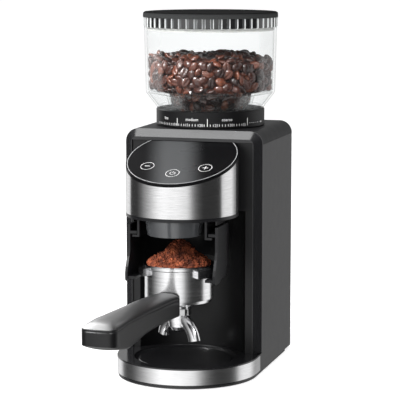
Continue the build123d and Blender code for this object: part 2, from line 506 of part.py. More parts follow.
# ---------------------------------------------------------------- lid
cap = rev([(0, LID_Z2), (64.4, LID_Z2), (65.6, LID_Z2 - 0.7), (LID_R, LID_Z2 - 2.0), (LID_R, LID_Z1), (62.7, LID_Z1), (62.7, 330.6),
           (60.6, 330.6), (60.6, LID_Z1), (0, LID_Z1)], 0, BURR_Y)
save(one(cap), "lid_cap")
grip = tube(65.1, 62.9, LID_Z0, LID_Z1 - 0.1, 0, BURR_Y)
rib = cyl(1.9, LID_Z0, LID_Z1 - 0.1, 0, -63.8)
ribs = [Pos(0, BURR_Y, 0) * Rot(0, 0, k * 360.0 / LID_RIBS) * rib for k in range(LID_RIBS)]
grip = grip + ribs
grip = grip & tube(65.75, 62.9, LID_Z0 - 1, LID_Z1 + 1, 0, BURR_Y)
save(one(grip), "lid_grip_ring")
seal = rev([(60.4, 326.0), (61.8, 326.0), (62.25, 327.2), (61.8, 328.4), (61.8, 330.55), (60.4, 330.55)], 0, BURR_Y)
save(one(seal), "lid_seal")

# ---------------------------------------------------------------- cradle
def u_plan(x, y_front, z0, z1):
    """U of half width x: straight sides from y_front, half round at the back, centred on the head axis."""
    return cyl(x, z0, z1, 0, HEAD_Y) + box(-x, x, y_front, HEAD_Y, z0, z1) - box(-x - 1, x + 1, -200, y_front, z0 - 1, z1 + 1)


cr = u_plan(CRADLE_X, -62, CRADLE_Z0, CRADLE_Z1) - u_plan(CRADLE_X - 2.4, -70, CRADLE_Z0 - 1, CRADLE_Z1 + 1)
# side profile: forward bulge at the bottom, lower edge rising to the back
side = side_prism([(-50.5, 152), (-50.5, 128), (-52.5, 121), (-57.5, 112), (-59.0, 107), (-59.0, 100.5), (-57.0, 98.5),
                   (-44, 98.5), (-24, 106), (-8, 112), (40, 114), (40, 152)], -60, 60)
cr = cr & side
# the back wall stays under the rails
cr = cr - box(-60, 60, -6.0, 40, 138.4, 160)
# ledge that carries the lugs
ledge = u_plan(CRADLE_X - 1.0, -57.5, 100.6, 103.2) - u_plan(33.4, -90, 99, 105)
ledge = ledge & side_prism([(-58, 90), (-2, 90), (-2, 110), (-58, 110)], -60, 60)
web = u_plan(CRADLE_X - 1.0, -50, 101.0, 113) - u_plan(CRADLE_X - 2.4, -90, 99, 115)
cr = cr + ledge + (web & side_prism([(-50, 90), (-1.9, 90), (-1.9, 113), (-50, 113)], -60, 60))
# flanges that ride on the head rails
for s in (-1, 1):
    xa, xb = sorted((s * 34.6, s * (CRADLE_X - 1.0)))
    cr = cr + box(xa, xb, -50.5, -16.0, 142.2, 144.8)
save(one(cr), "portafilter_cradle")

# ---------------------------------------------------------------- portafilter
cup = rev([(8.0, PF_Z0 + 0.6), (8.0, PF_Z0 + 3.0), (25.0, PF_Z0 + 3.0), (29.9, PF_Z0 + 7.5), (29.9, PF_Z1), (33.2, PF_Z1), (33.2, PF_Z1 - 2.6), (PF_R, PF_Z1 - 3.4),
           (PF_R, PF_Z0 + 4.6), (31.0, PF_Z0 + 1.7), (28.0, PF_Z0), (9.6, PF_Z0), (9.6, PF_Z0 - 6.0), (8.0, PF_Z0 - 6.0)], 0, PF_Y)
for a0 in (66.0, -66.0):
    lug = tube(38.4, PF_R - 0.5, 103.5, 110.4, 0, PF_Y)
    h = math.radians(22)
    a = math.radians(a0)
    wedge = prism([(0, PF_Y), (60 * math.sin(a - h), PF_Y - 60 * math.cos(a - h)), (60 * math.sin(a + h), PF_Y - 60 * math.cos(a + h))], 100, 115)
    cup = cup + (lug & wedge)
hb = Pos(0, PF_Y, 0) * Rot(0, 0, HANDLE_TURN) * box(-6.5, 6.5, -35.1, -29.9, 75.5, 86.0)
cup = cup + hb - cyl(29.9, PF_Z0 + 7.5, PF_Z1 + 1, 0, PF_Y)
stud_hole = Pos(0, PF_Y, 0) * Rot(0, 0, HANDLE_TURN) * (Pos(0, -34.4, 80.5) * Rot(90, 0, 0) * Cylinder(3.0, 5.2))
cup = cup - stud_hole
save(one(cup), "portafilter_cup")

basket = rev([(29.0, PF_Z1 + 1.0), (33.0, PF_Z1 + 1.0), (33.0, PF_Z1 + 0.1), (29.7, PF_Z1 + 0.1), (29.0, 88.0), (27.0, 86.2), (0, 86.2), (0, 86.9), (26.7, 86.9), (28.3, 88.4)], 0, PF_Y)
save(one(basket), "filter_basket")

coffee = rev([(0, 87.2), (26.3, 87.2), (28.0, 88.6), (28.8, PF_Z1 + 1.1), (32.2, PF_Z1 + 1.2), (31.0, 116.0), (24.0, 120.5), (15.0, 128.0), (8.0, 133.2), (0, 134.8)], 0, PF_Y)
save(one(coffee), "ground_coffee")

# handle: flat sides, domed top, underside that swells towards the far end
HAND = [(35.2, 13.6, 90.3, 85.2, 69.9, 68.2), (60, 13.8, 92.0, 86.6, 71.0, 69.2), (90, 14.2, 92.8, 87.7, 71.7, 69.7), (120, 14.8, 93.2, 88.6, 71.4, 69.2),
        (148, 15.7, 93.3, 89.4, 69.2, 66.8), (168, 16.4, 93.2, 89.8, 68.2, 66.0), (186, 16.8, 92.2, 88.4, 72.0, 69.0), (HANDLE_END + 1.2, 16.8, 88.8, 87.6, 75.6, 74.4)]


def hsec(dist, w, z_top, z_side, z_low, z_bot):
    q, h = 0.62 * w, z_top - z_side
    b = z_low - z_bot
    pts = [(-w, -dist, z_side), (-0.90 * w, -dist, z_side + 0.52 * h), (-q, -dist, z_side + 0.86 * h), (0, -dist, z_top), (q, -dist, z_side + 0.86 * h), (0.90 * w, -dist, z_side + 0.52 * h), (w, -dist, z_side)]
    low = [(w, -dist, z_low), (0.6 * w, -dist, z_low - 0.75 * b), (0, -dist, z_bot), (-0.6 * w, -dist, z_low - 0.75 * b), (-w, -dist, z_low)]
    return make_face([Spline(*pts).edge(), Line(pts[-1], low[0]).edge(), Spline(*low).edge(), Line(low[-1], pts[0]).edge()])


hand = loft([hsec(*h) for h in HAND])
# the far end is rounded in plan
END_R = 9.0
plan_r = [(-22, -30), (-22, -(HANDLE_END - END_R)), (-16.8, -(HANDLE_END - END_R))]
corner = [(-16.8 + END_R * (1 - math.cos(math.radians(t))), -(HANDLE_END - END_R) - END_R * math.sin(math.radians(t))) for t in range(6, 90, 6)]
nose_pts = [(-7.0, -(HANDLE_END + 0.35)), (0, -(HANDLE_END + 0.7)), (7.0, -(HANDLE_END + 0.35))]
left = plan_r + corner + nose_pts
right = [(-x, y) for x, y in reversed(plan_r + corner)]
hand = hand & prism(left + right, 50, 110)
hand = hand - (Pos(0, -42.0, 80.5) * Rot(90, 0, 0) * Cylinder(3.0, 22.0))
hand = Pos(0, PF_Y, 0) * Rot(0, 0, HANDLE_TURN) * hand
save(one(hand), "portafilter_handle")
stud = Pos(0, PF_Y, 0) * Rot(0, 0, HANDLE_TURN) * (Pos(0, -42.3, 80.5) * Rot(90, 0, 0) * Cylinder(2.95, 20.8))
save(one(stud), "handle_stud")

# twin spout, turned on its thread
spout = cyl(11.6, 64.5, 70.3, 0, 0) - (cyl(20, 60, 72) - prism([(12.6 * math.cos(math.radians(60 * k)), 12.6 * math.sin(math.radians(60 * k))) for k in range(6)], 60, 72))
spout = spout + rev([(0, 47.5), (4.0, 47.6), (7.6, 49.6), (9.8, 53.0), (10.6, 58.0), (10.6, 64.8), (0, 64.8)])
SP = []
for s in (-1, 1):
    path = Spline((s * 3, 0, 60.0), (s * 14.8, 0, 55.6), (s * 23.8, 0, 42.0), tangents=[(s * 1, 0, 0.0), (s * 0.22, 0, -1)])
    pl = Plane(origin=(s * 3, 0, 60.0), z_dir=(s * 1, 0, 0))
    arm_s = sweep(pl * Ellipse(6.5, 5.2), path)
    SP.append(arm_s)
body = spout + SP
spout2 = cyl(8.0 - 0.15, 62, PF_Z0 + 2.4)
body = body + spout2 - cyl(5.2, 58.0, 90)
for s in (-1, 1):
    path = Spline((s * 3, 0, 60.8), (s * 14.4, 0, 56.8), (s * 24.2, 0, 40.0), tangents=[(s * 1, 0, 0.0), (s * 0.22, 0, -1)])
    pl = Plane(origin=(s * 3, 0, 60.8), z_dir=(s * 1, 0, 0))
    body = body - sweep(pl * Ellipse(4.8, 3.6), path)
body = Pos(0, PF_Y, 0) * Rot(0, 0, -36) * body
save(one(body), "twin_spout")
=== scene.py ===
import bpy
import math
import random
import numpy as np
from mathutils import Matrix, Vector, noise


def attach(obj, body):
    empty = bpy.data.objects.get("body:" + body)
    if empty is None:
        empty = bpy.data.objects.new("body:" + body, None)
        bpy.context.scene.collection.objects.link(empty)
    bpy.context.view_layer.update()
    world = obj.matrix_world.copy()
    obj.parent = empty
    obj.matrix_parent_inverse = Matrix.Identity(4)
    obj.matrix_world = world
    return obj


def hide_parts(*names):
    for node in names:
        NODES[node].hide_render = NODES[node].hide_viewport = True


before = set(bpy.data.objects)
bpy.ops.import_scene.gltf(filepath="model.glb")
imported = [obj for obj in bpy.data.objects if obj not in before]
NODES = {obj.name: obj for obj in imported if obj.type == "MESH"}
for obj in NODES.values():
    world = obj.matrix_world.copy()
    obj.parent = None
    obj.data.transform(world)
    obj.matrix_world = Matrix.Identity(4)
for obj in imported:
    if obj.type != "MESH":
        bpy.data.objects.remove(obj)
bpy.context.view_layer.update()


MM = 0.001
rng = random.Random(7)
nrg = np.random.default_rng(11)
BURR_Y = 76.8


# ------------------------------------------------------------------ node material helpers
class Mat:
    """A principled material with procedural colour, roughness and relief."""

    def __init__(self, name, rough=0.5, metal=0.0, spec=None, ior=None, coat=0.0, coat_rough=0.1, aniso=0.0, aniso_rot=0.0, transmission=0.0, sheen=0.0):
        self.m = bpy.data.materials.new(name)
        self.m.use_nodes = True
        self.t = self.m.node_tree
        self.n = self.t.nodes
        self.l = self.t.links
        self.b = self.n["Principled BSDF"]
        i = self.b.inputs
        i["Roughness"].default_value = rough
        i["Metallic"].default_value = metal
        if spec is not None:
            i["Specular IOR Level"].default_value = spec
        if ior is not None:
            i["IOR"].default_value = ior
        i["Coat Weight"].default_value = coat
        i["Coat Roughness"].default_value = coat_rough
        i["Anisotropic"].default_value = aniso
        i["Anisotropic Rotation"].default_value = aniso_rot
        i["Transmission Weight"].default_value = transmission
        if sheen:
            i["Sheen Weight"].default_value = sheen

    def coord(self, scale=(1, 1, 1), loc=(0, 0, 0), rot=(0, 0, 0)):
        tc = self.n.new("ShaderNodeTexCoord")
        mp = self.n.new("ShaderNodeMapping")
        mp.inputs["Scale"].default_value = scale
        mp.inputs["Location"].default_value = loc
        mp.inputs["Rotation"].default_value = rot
        self.l.new(tc.outputs["Object"], mp.inputs["Vector"])
        return mp.outputs["Vector"]

    def noise(self, scale, detail=3.0, rough=0.55, vec=None, distortion=0.0):
        nd = self.n.new("ShaderNodeTexNoise")
        nd.inputs["Scale"].default_value = scale
        nd.inputs["Detail"].default_value = detail
        nd.inputs["Roughness"].default_value = rough
        nd.inputs["Distortion"].default_value = distortion
        self.l.new(vec if vec is not None else self.coord(), nd.inputs["Vector"])
        return nd.outputs["Fac"]

    def voronoi(self, scale, vec=None, feature="F1", out="Distance"):
        nd = self.n.new("ShaderNodeTexVoronoi")
        nd.feature = feature
        nd.inputs["Scale"].default_value = scale
        self.l.new(vec if vec is not None else self.coord(), nd.inputs["Vector"])
        return nd.outputs[out]

    def ramp(self, fac, stops, interp="LINEAR"):
        nd = self.n.new("ShaderNodeValToRGB")
        nd.color_ramp.interpolation = interp
        e = nd.color_ramp.elements
        while len(e) < len(stops):
            e.new(0.5)
        for el, (p, c) in zip(e, stops):
            el.position = p
            el.color = (*c, 1) if len(c) == 3 else c
        self.l.new(fac, nd.inputs["Fac"])
        return nd.outputs["Color"]

    def remap(self, fac, lo, hi, a=0.0, b=1.0, smooth=False):
        nd = self.n.new("ShaderNodeMapRange")
        if smooth:
            nd.interpolation_type = "SMOOTHSTEP"
        nd.inputs["From Min"].default_value = a
        nd.inputs["From Max"].default_value = b
        nd.inputs["To Min"].default_value = lo
        nd.inputs["To Max"].default_value = hi
        self.l.new(fac, nd.inputs["Value"])
        return nd.outputs["Result"]

    def math(self, op, a, b=None):
        nd = self.n.new("ShaderNodeMath")
        nd.operation = op
        for k, v in enumerate((a, b)):
            if v is None:
                continue
            if isinstance(v, (int, float)):
                nd.inputs[k].default_value = v
            else:
                self.l.new(v, nd.inputs[k])
        return nd.outputs[0]

    def mix(self, fac, a, b, blend="MIX"):
        nd = self.n.new("ShaderNodeMix")
        nd.data_type = "RGBA"
        nd.blend_type = blend
        if isinstance(fac, (int, float)):
            nd.inputs[0].default_value = fac
        else:
            self.l.new(fac, nd.inputs[0])
        for k, v in ((6, a), (7, b)):
            if isinstance(v, tuple):
                nd.inputs[k].default_value = (*v, 1)
            else:
                self.l.new(v, nd.inputs[k])
        return nd.outputs[2]

    def set(self, name, out):
        self.l.new(out, self.b.inputs[name])
        return self

    def color(self, a, b, scale=30.0, vec=None, detail=3.0, lo=0.35, hi=0.65):
        return self.set("Base Color", self.ramp(self.noise(scale, detail, vec=vec), [(lo, a), (hi, b)]))

    def rough(self, lo, hi, scale=60.0, vec=None, detail=3.0):
        return self.set("Roughness", self.remap(self.noise(scale, detail, vec=vec), lo, hi, 0.3, 0.7))

    def bump(self, height, strength=0.3, dist=0.0002):
        nd = self.n.new("ShaderNodeBump")
        nd.inputs["Strength"].default_value = strength
        nd.inputs["Distance"].default_value = dist
        self.l.new(height, nd.inputs["Height"])
        self.l.new(nd.outputs["Normal"], self.b.inputs["Normal"])
        return self


def satin_plastic(name, base, rough=(0.34, 0.42), grain=0.25, spec=0.5):
    m = Mat(name, spec=spec)
    a = tuple(c * 0.93 for c in base)
    b = tuple(c * 1.07 for c in base)
    q = (rough[1] - rough[0]) * 0.3
    m.color(a, b, 14.0).rough(rough[0] + q, rough[1] - q, 90.0)
    g = m.noise(1500.0, 2.0)
    m.bump(g, grain * 0.35, 0.00003)
    return m


def gloss_plastic(name, base, rough=(0.06, 0.11)):
    m = Mat(name, spec=0.5, coat=0.3, coat_rough=0.04)
    m.color(tuple(c * 0.9 for c in base), tuple(c * 1.1 for c in base), 10.0).rough(rough[0], rough[1], 25.0)
    m.bump(m.noise(60.0, 1.0), 0.02, 0.0002)
    return m


def brushed_round(name, base=(0.70, 0.70, 0.705), rough=(0.17, 0.23), aniso=0.80):
    """Steel brushed along the horizontal: long streaks round the band, fine steps in height."""
    m = Mat(name, metal=1.0, aniso=aniso, aniso_rot=0.25)
    tg = m.n.new("ShaderNodeTangent")
    tg.direction_type = "RADIAL"
    tg.axis = "Z"
    m.l.new(tg.outputs["Tangent"], m.b.inputs["Tangent"])
    v = m.coord((70, 70, 2600))
    v2 = m.coord((110, 110, 1500), (3.1, 0.2, 0.7))
    f1 = m.noise(1.0, 4.0, 0.6, v)
    f2 = m.noise(1.0, 3.0, 0.6, v2)
    s = m.math("MULTIPLY", m.math("ADD", f1, f2), 0.5)
    m.set("Base Color", m.ramp(s, [(0.30, tuple(c * 0.84 for c in base)), (0.5, base), (0.72, tuple(min(1, c * 1.16) for c in base))]))
    m.set("Roughness", m.remap(s, rough[0], rough[1], 0.3, 0.7))
    m.bump(s, 0.035, 0.00003)
    return m


def metal(name, base, rough=(0.12, 0.2), streak=None, bump=0.03):
    m = Mat(name, metal=1.0)
    v = m.coord(streak) if streak else None
    sc = 1.0 if streak else 300.0
    f = m.noise(sc, 3.0, 0.55, v)
    m.set("Base Color", m.ramp(f, [(0.3, tuple(c * 0.88 for c in base)), (0.7, tuple(min(1, c * 1.08) for c in base))]))
    m.set("Roughness", m.remap(f, rough[0], rough[1], 0.3, 0.7))
    m.bump(f, bump, 0.00008)
    return m


def clear_plastic(name, tint=(0.985, 0.99, 0.99), rough=0.03, haze=0.05, edge=0.50):
    """Thin clear wall: what is behind shows straight through, hazier and darker towards the edges."""
    m = Mat(name, rough=rough, spec=0.5)
    f = m.noise(35.0, 2.0)
    m.set("Base Color", m.ramp(f, [(0.3, (0.80, 0.81, 0.81)), (0.7, (0.90, 0.91, 0.91))]))
    m.set("Roughness", m.remap(m.noise(80.0, 2.0), rough * 0.5, rough * 1.6, 0.3, 0.7))
    m.bump(m.noise(22.0, 1.0), 0.015, 0.0004)
    lw = m.n.new("ShaderNodeLayerWeight")
    lw.inputs["Blend"].default_value = 0.5
    side = lw.outputs["Facing"]
    tr = m.n.new("ShaderNodeBsdfTransparent")
    m.l.new(m.ramp(side, [(0.0, tint), (0.72, tuple(c * 0.985 for c in tint)), (0.93, tuple(c * 0.90 for c in tint)), (1.0, tuple(c * edge for c in tint))]), tr.inputs["Color"])
    mx = m.n.new("ShaderNodeMixShader")
    m.l.new(m.ramp(side, [(0.0, (0.005,) * 3), (0.33, (0.006,) * 3), (0.37, (haze,) * 3), (0.80, (haze * 1.3,) * 3), (1.0, (0.36,) * 3)]), mx.inputs[0])
    m.l.new(tr.outputs[0], mx.inputs[1])
    m.l.new(m.b.outputs[0], mx.inputs[2])
    m.l.new(mx.outputs[0], m.n["Material Output"].inputs["Surface"])
    return m


MATS = {}
MATS["shell"] = satin_plastic("shell_black", (0.010, 0.010, 0.011), (0.30, 0.36), 0.22, 0.42).m
MATS["bezel"] = satin_plastic("bezel_black", (0.010, 0.010, 0.011), (0.20, 0.26), 0.10, 0.5).m
MATS["liner"] = satin_plastic("liner_black", (0.006, 0.006, 0.0065), (0.28, 0.36), 0.2, 0.3).m
MATS["cradle"] = satin_plastic("cradle_black", (0.007, 0.007, 0.008), (0.26, 0.34), 0.2, 0.3).m
MATS["nozzle"] = satin_plastic("nozzle_black", (0.048, 0.050, 0.053), (0.13, 0.18), 0.1, 0.9).m
MATS["collar"] = satin_plastic("collar_black", (0.006, 0.006, 0.0065), (0.38, 0.46), 0.2, 0.2).m
MATS["handle"] = satin_plastic("handle_black", (0.005, 0.005, 0.0054), (0.30, 0.36), 0.03, 0.36).m
lid_mat = satin_plastic("lid_black", (0.014, 0.0144, 0.0148), (0.76, 0.84), 0.2, 0.02)
# painted shade: the lid's base colour follows the surface normal, lighter on the sides and darker on the top
geo = lid_mat.n.new("ShaderNodeNewGeometry")
up = lid_mat.n.new("ShaderNodeSeparateXYZ")
lid_mat.l.new(geo.outputs["Normal"], up.inputs[0])
lid_painted_shade = lid_mat.math("ADD", up.outputs["Z"], lid_mat.math("MULTIPLY", lid_mat.noise(30.0, 2.0), 0.08))
lid_mat.set("Base Color", lid_mat.ramp(lid_painted_shade, [(0.0, (0.036, 0.037, 0.037)), (0.45, (0.024, 0.0245, 0.025)), (0.85, (0.005, 0.005, 0.0052)), (1.0, (0.004, 0.004, 0.0042))]))
MATS["lid"] = lid_mat.m
MATS["cover"] = satin_plastic("cover_black", (0.010, 0.010, 0.011), (0.42, 0.50), 0.2, 0.16).m
MATS["deck"] = gloss_plastic("deck_black", (0.010, 0.010, 0.011), (0.16, 0.24)).m
MATS["pan"] = satin_plastic("pan_black", (0.012, 0.012, 0.013), (0.4, 0.5), 0.4).m
MATS["grey"] = satin_plastic("grey_plastic", (0.20, 0.20, 0.21), (0.4, 0.5), 0.3).m
MATS["white"] = satin_plastic("ivory_plastic", (0.72, 0.70, 0.64), (0.35, 0.45), 0.2).m
MATS["component"] = satin_plastic("component_black", (0.05, 0.05, 0.06), (0.3, 0.4), 0.2).m
MATS["ferrite"] = satin_plastic("ferrite", (0.08, 0.08, 0.085), (0.6, 0.8), 0.8).m
MATS["brushed"] = brushed_round("brushed_band").m
MATS["brushed_base"] = brushed_round("brushed_base_band", (0.78, 0.78, 0.785), (0.27, 0.33), 0.70).m
MATS["polished"] = metal("polished_steel", (0.86, 0.86, 0.87), (0.18, 0.24), (30, 30, 900), 0.003).m
MATS["chrome"] = metal("chrome", (0.66, 0.66, 0.67), (0.03, 0.07), None, 0.01).m
MATS["spout"] = metal("spout_chrome", (0.84, 0.84, 0.85), (0.16, 0.24), None, 0.008).m
MATS["steel"] = metal("machined_steel", (0.50, 0.50, 0.51), (0.22, 0.34), (40, 40, 1200), 0.06).m
MATS["plated"] = metal("plated_steel", (0.62, 0.61, 0.58), (0.25, 0.4), None, 0.06).m
MATS["ground"] = metal("ground_steel", (0.68, 0.68, 0.70), (0.10, 0.2), (60, 60, 2000), 0.03).m
MATS["alu"] = metal("cast_aluminium", (0.60, 0.60, 0.61), (0.38, 0.5), None, 0.2).m
MATS["clear"] = clear_plastic("clear_hopper").m
MATS["clear_ring"] = clear_plastic("clear_ring", (0.95, 0.96, 0.96), 0.03).m


def pcb():
    m = Mat("circuit_board", spec=0.5)
    v = m.coord((1, 1, 1))
    cells = m.voronoi(420.0, v, "DISTANCE_TO_EDGE")
    m.set("Base Color", m.ramp(cells, [(0.04, (0.02, 0.10, 0.045)), (0.10, (0.035, 0.19, 0.085))]))
    m.rough(0.2, 0.3)
    m.bump(cells, 0.1, 0.0001)
    return m.m


def rubber(name, base=(0.018, 0.018, 0.018)):
    m = Mat(name, spec=0.35)
    m.color(tuple(c * 0.85 for c in base), tuple(c * 1.15 for c in base), 40.0).rough(0.55, 0.75, 120.0)
    m.bump(m.noise(1800.0, 2.0), 0.4, 0.0001)
    return m.m


def wound():
    m = Mat("wound_core", metal=0.6)
    v = m.coord((200, 200, 1400))
    f = m.noise(1.0, 3.0, 0.5, v)
    m.set("Base Color", m.ramp(f, [(0.35, (0.25, 0.11, 0.05)), (0.6, (0.50, 0.26, 0.13))]))
    m.set("Roughness", m.remap(f, 0.25, 0.5, 0.3, 0.7))
    m.bump(f, 0.3, 0.0002)
    return m.m


def touch_panel():
    """Dark glass with a painted reflection: a soft lighter zone in the middle, fading to black at both ends."""
    m = Mat("touch_glass", spec=0.06)
    tc = m.n.new("ShaderNodeTexCoord")
    sp = m.n.new("ShaderNodeSeparateXYZ")
    m.l.new(tc.outputs["Object"], sp.inputs["Vector"])
    # painted reflection: base colour lighter in a soft band near the middle, darker towards both ends
    x = m.math("ADD", sp.outputs["X"], m.math("MULTIPLY", sp.outputs["Y"], 0.30))
    ax = m.math("ABSOLUTE", m.math("ADD", x, 0.013))
    painted_reflection_zone = m.remap(ax, 1.0, 0.0, 0.006, 0.031, True)
    grain = m.noise(40.0, 2.0)
    w = m.math("MULTIPLY", painted_reflection_zone, m.remap(grain, 0.985, 1.0, 0.3, 0.7))
    # black printed border outside the trim line
    yy = m.math("ADD", sp.outputs["Y"], 0.0186)
    rr = m.math("SQRT", m.math("ADD", m.math("MULTIPLY", sp.outputs["X"], sp.outputs["X"]), m.math("MULTIPLY", yy, yy)))
    w = m.math("MULTIPLY", w, m.remap(rr, 1.0, 0.0, 0.0508, 0.0513))
    # base colour carries the painted reflection and the printed border
    m.set("Base Color", m.ramp(w, [(0.0, (0.004, 0.004, 0.0045)), (1.0, (0.066, 0.068, 0.070))]))
    m.set("Roughness", m.remap(m.noise(30.0, 2.0), 0.26, 0.32, 0.3, 0.7))
    return m.m


def ribbed_ring():
    """Smoky ring whose base colour carries painted light: each rib's flanks get a painted highlight, the grooves a
    lighter painted grey, the lands stay near black and the top, inner and bottom faces are painted dark as shade.
    """
    m = Mat("ribbed_ring", spec=0.7, coat=0.5, coat_rough=0.05)
    at = m.n.new("ShaderNodeAttribute")
    at.attribute_name = "tone"
    f = m.math("ADD", at.outputs["Fac"], m.math("MULTIPLY", m.noise(500.0, 2.0), 0.06))
    m.set("Base Color", m.ramp(f, [(0.0, (0.005, 0.005, 0.0055)), (0.35, (0.030, 0.032, 0.033)), (0.52, (0.10, 0.104, 0.106)), (0.75, (0.36, 0.37, 0.37)), (1.0, (0.80, 0.82, 0.82))]))
    m.set("Roughness", m.remap(m.noise(90.0, 2.0), 0.08, 0.14, 0.3, 0.7))
    return m.m


def printed(name, base=(0.85, 0.85, 0.85)):
    m = Mat(name, spec=0.3)
    m.color(tuple(c * 0.92 for c in base), base, 400.0).rough(0.4, 0.55, 500.0)
    return m.m


MATS["pcb"] = pcb()
MATS["rubber"] = rubber("rubber")
MATS["silicone"] = rubber("silicone", (0.62, 0.62, 0.60))
MATS["wound"] = wound()
MATS["panel"] = touch_panel()
MATS["print"] = printed("white_print")
MATS["ring"] = ribbed_ring()
MATS["trim"] = printed("silver_trim", (0.36, 0.365, 0.37))

LOOK = {
    "adjust_ring": "white", "armature": "wound", "base_band": "brushed_base", "base_deck": "deck", "base_pan": "pan",
    "bay_liner": "liner", "board_components": "component", "brush_cap": "white", "burr_carrier": "alu", "burr_chamber": "grey",
    "burr_nut": "steel", "collar_screws": "plated", "cone_burr": "steel", "cord_gland": "rubber", "drive_shaft": "ground",
    "filter_basket": "chrome", "front_bezel": "bezel", "gearbox_base": "grey", "gearbox_cover": "grey", "gearbox_screws": "plated",
    "grounds_chute": "grey", "grounds_sweeper": "white", "handle_stud": "steel", "head_band": "brushed",
    "head_shell": "cradle", "hopper": "clear", "idler_gear": "white", "idler_pin": "ground", "interlock_switch": "component",
    "lid_cap": "lid", "lid_grip_ring": "clear_ring", "lid_seal": "silicone", "lower_bearing": "ground", "main_shell": "shell",
    "motor_can": "plated", "motor_magnets": "ferrite", "motor_pinion": "steel", "motor_screws": "plated", "motor_shaft": "ground",
    "outlet_nozzle": "nozzle", "output_gear": "steel", "pan_screws": "plated", "panel_trim": "trim", "portafilter_cradle": "cradle",
    "portafilter_cup": "polished", "portafilter_handle": "handle", "power_board": "pcb", "ring_burr": "steel", "ring_burr_screws": "plated",
    "rubber_feet": "rubber", "scale_collar": "collar", "switch_plunger": "white", "top_cover": "cover", "touch_board": "pcb",
    "touch_panel": "panel", "tray_mat": "deck", "twin_spout": "spout", "upper_bearing": "ground",
}
for node, key in LOOK.items():
    o = NODES[node]
    o.data.materials.clear()
    o.data.materials.append(MATS[key])


# ------------------------------------------------------------------ mesh helpers
def make(name, verts, faces, mat, body, smooth=True):
    me = bpy.data.meshes.new(name)
    me.from_pydata([tuple(float(c) for c in v) for v in verts], [], [tuple(int(i) for i in f) for f in faces])
    me.validate()
    me.update()
    me.materials.append(mat)
    if smooth:
        me.polygons.foreach_set("use_smooth", [True] * len(me.polygons))
    o = bpy.data.objects.new(name, me)
    bpy.context.scene.collection.objects.link(o)
    if body:
        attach(o, body)
    return o


# ------------------------------------------------------------------ ribbed clear ring under the lid
def grip_ring():
    """Clear ring with flat lands between narrow vertical ribs."""
    n, z0, z1 = 52, 329.45, 338.8
    shape = [(-0.50, 64.3), (-0.345, 64.3), (-0.285, 65.62), (0.285, 65.62), (0.345, 64.3)]
    # per-face tone is painted light: the rib flanks get a bright painted highlight, the recessed grooves a lighter
    # painted grey, the raised lands stay near black
    tone = [0.42, 0.95, 0.02, 0.95, 0.42]
    rib_painted_light = []
    ring = []
    for k in range(n):
        for u, r in shape:
            a = 2 * math.pi * (k + u) / n
            ring.append((r * math.cos(a), r * math.sin(a)))
    m = len(ring)
    rows = [(z0, 1.0, -0.5), (z0 + 0.5, 1.0, 0.0), (z1, 1.0, 0.0)]
    verts = []
    for z, s, dr in rows:
        for x, y in ring:
            q = (math.hypot(x, y) + dr) / math.hypot(x, y)
            verts.append((x * q, y * q, z))
    ri = 62.6
    for z in (z1, z0):
        for x, y in ring:
            q = ri / math.hypot(x, y)
            verts.append((x * q, y * q, z))
    faces = []
    for j in range(5):
        for k in range(m):
            a, b = j * m + k, j * m + (k + 1) % m
            c, d = ((j + 1) % 5) * m + (k + 1) % m, ((j + 1) % 5) * m + k
            faces.append((a, b, c, d))
            # the top, inner and bottom faces are painted dark as shade
            rib_painted_light.append(tone[k % 5] * (1.0 if j < 2 else 0.1))
    v = np.array(verts)
    v[:, 1] += BURR_Y
    return v * MM, faces, rib_painted_light


gr_v, gr_f, ring_painted_light = grip_ring()
grip = make("grip_ring_ribbed", gr_v, gr_f, MATS["ring"], "lid", False)
at = grip.data.attributes.new("tone", "FLOAT", "FACE")
at.data.foreach_set("value", ring_painted_light[:len(at.data)])
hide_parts("lid_grip_ring")


# ------------------------------------------------------------------ coffee beans
def bean_template(nu=26, nv=12):
    """Half-ellipsoid body with a flatter face that has a curved crease. Length along x, crease face towards -z."""
    vs, fs = [], []
    for j in range(1, nv):
        th = math.pi * j / nv
        for i in range(nu):
            ph = 2 * math.pi * i / nu
            vs.append((math.cos(th), math.sin(th) * math.cos(ph), math.sin(th) * math.sin(ph)))
    top, bot = len(vs), len(vs) + 1
    vs += [(1, 0, 0), (-1, 0, 0)]
    for j in range(nv - 2):
        for i in range(nu):
            a, b = j * nu + i, j * nu + (i + 1) % nu
            fs.append((a, a + nu, b + nu, b))
    for i in range(nu):
        fs.append((top, i, (i + 1) % nu))
        k = (nv - 2) * nu
        fs.append((bot, k + (i + 1) % nu, k + i))
    return np.array(vs), fs


BV, BF = bean_template()


def bean(scale, bend):
    v = BV.copy()
    x, y, z = v[:, 0].copy(), v[:, 1].copy(), v[:, 2].copy()
    flat = z < 0
    z = np.where(flat, z * 0.50, z * 1.0)
    yc = y - bend * (x ** 2 - 0.5) * 0.35
    groove = np.exp(-(yc / 0.13) ** 2) * np.clip(1 - np.abs(x) ** 3, 0, 1)
    z = z + np.where(flat, 0.36 * groove, 0.0)
    return np.stack([x * 5.9, y * 4.3, z * 3.3], 1) * scale


def wall_radius(z):
    """Free radius inside the hopper at a height."""
    pts = [(240, 21.0), (251.2, 38.0), (264.8, 41.0), (267.6, 60.9), (329.2, 62.4)]
    return float(np.interp(z, [p[0] for p in pts], [p[1] for p in pts]))


def top_height(r, a):
    """The heap's uneven upper surface."""
    n = noise.noise(Vector((r * math.cos(a) * 0.05, r * math.sin(a) * 0.05, 4.2)))
    return 296.0 + 4.5 * (1 - (r / 61.0) ** 2) + 6.0 * n


